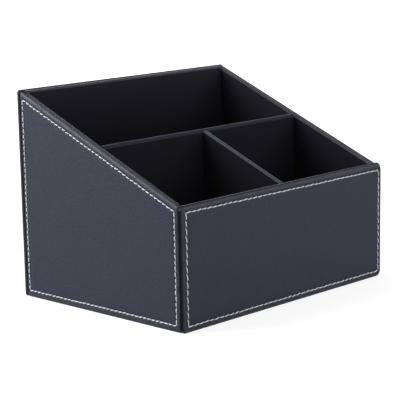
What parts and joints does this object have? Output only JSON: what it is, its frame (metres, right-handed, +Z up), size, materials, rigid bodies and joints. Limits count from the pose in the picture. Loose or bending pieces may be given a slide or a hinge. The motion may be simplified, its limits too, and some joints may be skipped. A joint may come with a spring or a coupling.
{
  "type": "desk storage box",
  "caption": "Open desk storage box in sewn black leather-look panels, with a tall rear bay and low front bays behind sloping side walls.",
  "frame": {"origin": "middle of the footprint, on the surface the box stands on", "axes": "+X to the right seen from the front, +Y to the tall back wall, +Z up"},
  "size_m": [0.1804, 0.1384, 0.127],
  "materials": {
    "leather": "black fine-grained leather-look sheet, soft sheen",
    "lining": "black flock on card",
    "board": "dark stained fibreboard",
    "card": "grey board",
    "thread": "white twisted sewing thread",
    "felt": "black pressed felt"
  },
  "bodies": {
    "root": {"base_board": "board", "front_board": "board", "back_board": "board", "left_board": "board", "right_board": "board", "cross_divider_board": "board", "front_divider_board": "board", "front_rim_strip": "leather", "back_rim_strip": "leather", "left_rim_strip": "leather", "right_rim_strip": "leather", "cross_divider_strip": "leather", "front_divider_strip": "leather", "front_panel_leather": "leather", "back_panel_leather": "leather", "left_panel_leather": "leather", "right_panel_leather": "leather", "front_panel_card": "card", "back_panel_card": "card", "left_panel_card": "card", "right_panel_card": "card", "front_panel_stitching": "thread", "back_panel_stitching": "thread", "left_panel_stitching": "thread", "right_panel_stitching": "thread", "rear_bay_front_liner": "lining", "rear_bay_back_liner": "lining", "rear_bay_left_liner": "lining", "rear_bay_right_liner": "lining", "rear_bay_floor_pad": "lining", "left_bay_front_liner": "lining", "left_bay_back_liner": "lining", "left_bay_left_liner": "lining", "left_bay_right_liner": "lining", "left_bay_floor_pad": "lining", "right_bay_front_liner": "lining", "right_bay_back_liner": "lining", "right_bay_left_liner": "lining", "right_bay_right_liner": "lining", "right_bay_floor_pad": "lining", "base_felt": "felt"}
  },
  "joints": []
}
